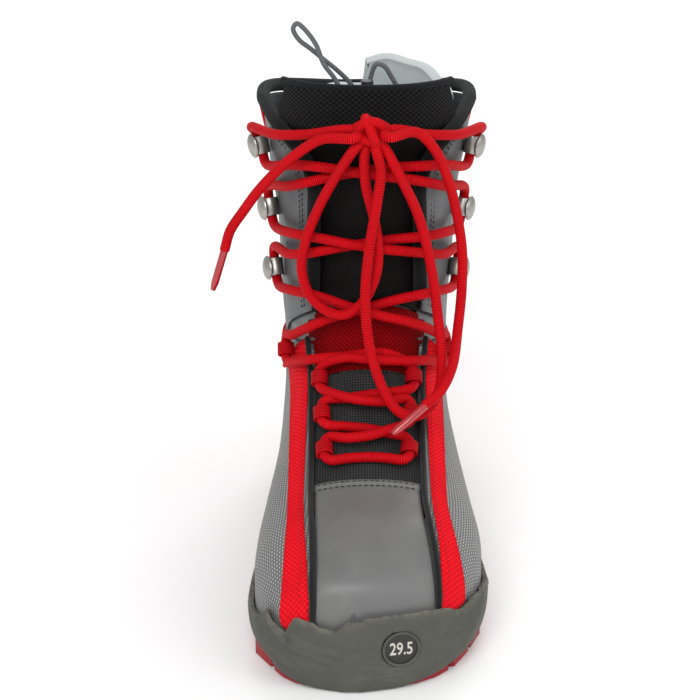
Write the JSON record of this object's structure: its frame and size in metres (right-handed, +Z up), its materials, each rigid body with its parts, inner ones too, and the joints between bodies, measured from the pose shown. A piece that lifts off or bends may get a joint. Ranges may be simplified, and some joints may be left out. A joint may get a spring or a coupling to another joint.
{
  "type": "snowboard boot",
  "caption": "Lace-up snowboard boot for the left foot, grey and red, with a rubber toe rand, lugged sole, tall sprung cuff, speed hooks, a tied red lace and a foam liner.",
  "frame": {"origin": "On the ground under the waist of the sole, on the outsole's underside", "axes": "+Z up; -Y is towards the toe; +X is the outer (lateral) side of this left boot"},
  "size_m": [0.1509, 0.323, 0.3122],
  "materials": {
    "outsole_rubber": "moulded matt red rubber with lugs",
    "foam_black": "soft black foam",
    "shank_steel": "plain sheet",
    "insole_board": "fibre board",
    "rand_rubber": "matt grey-olive foxing rubber, slightly scuffed",
    "badge": "dark moulded badge with pale figures",
    "toe_leather": "smooth grey synthetic leather",
    "side_mesh": "light grey fabric under a dark rubber grid",
    "red_weave": "bright red ripstop weave",
    "piping": "black covered cord",
    "stiffener": "thermoplastic sheet",
    "tongue_weave": "charcoal coarse weave",
    "red_mesh": "red spacer mesh",
    "tongue_nylon": "black ballistic nylon",
    "binding": "black padded knit binding",
    "cuff_leather": "smooth grey synthetic leather",
    "webbing": "black flat webbing",
    "liner_fleece": "pale grey brushed lining",
    "hook_steel": "domed, lightly worn",
    "loop_webbing": "red ribbed webbing",
    "lace": "bright red braided round cord",
    "aglet": "clear-coated red tip",
    "lock_plastic": "moulded black",
    "draw_cord": "grey smooth cord"
  },
  "bodies": {
    "foot": {"outsole": "outsole_rubber", "midsole": "foam_black", "shank": "shank_steel", "insole_board": "insole_board", "rand": "rand_rubber", "size_badge": "badge", "toe_cap": "toe_leather", "quarter_medial": "side_mesh", "eyestay_band_medial": "red_weave", "piping_medial": "piping", "ankle_strap_medial": "red_weave", "quarter_lateral": "side_mesh", "eyestay_band_lateral": "red_weave", "piping_lateral": "piping", "ankle_strap_lateral": "red_weave", "heel_counter": "stiffener", "tongue_vamp": "tongue_weave", "liner_foot": "liner_fleece", "footbed": "foam_black", "ankle_loop_medial": "loop_webbing", "lace_loop_medial_1": "loop_webbing", "lace_loop_medial_2": "loop_webbing", "lace_loop_medial_3": "loop_webbing", "ankle_loop_lateral": "loop_webbing", "lace_loop_lateral_1": "loop_webbing", "lace_loop_lateral_2": "loop_webbing", "lace_loop_lateral_3": "loop_webbing", "lace_foot": "lace"},
    "cuff": {"tongue_flex": "red_mesh", "tongue_shin": "tongue_nylon", "tongue_binding": "binding", "cuff_panel_medial": "cuff_leather", "collar_medial": "binding", "cuff_panel_lateral": "cuff_leather", "collar_lateral": "binding", "back_panel": "red_weave", "back_stiffener": "stiffener", "ankle_gusset": "cuff_leather", "pull_tab": "webbing", "liner_cuff": "liner_fleece", "liner_tongue": "liner_fleece", "hook_medial_1": "hook_steel", "hook_medial_2": "hook_steel", "hook_medial_3": "hook_steel", "hook_lateral_1": "hook_steel", "hook_lateral_2": "hook_steel", "hook_lateral_3": "hook_steel", "lace_shaft_a": "lace", "lace_shaft_b": "lace", "lace_knot": "lace", "bow_loop_left": "lace", "bow_loop_right": "lace", "lace_end_left": "lace", "aglet_left": "aglet", "lace_end_right": "lace", "aglet_right": "aglet", "cord_lock_body": "lock_plastic", "draw_cord": "draw_cord"},
    "cord_lock_button": {"cord_lock_button": "lock_plastic"}
  },
  "joints": [
    {"name": "ankle_flex", "type": "hinge", "parent": "foot", "child": "cuff", "pos_m": [0, 0.056, 0.118], "axis": [1, 0, 0], "range_deg": [-4, 12], "stiffness_Nm_per_rad": 25, "deforming": ["ankle_gusset", "tongue_flex", "lace_shaft_a", "lace_shaft_b", "bow_loop_left", "bow_loop_right", "lace_end_right", "aglet_right"]},
    {"name": "cord_lock_press", "type": "slide", "parent": "cuff", "child": "cord_lock_button", "axis": [0, 0, -1], "range_m": [0, 0.003], "stiffness_N_per_m": 500, "springref_m": -0.001}
  ]
}
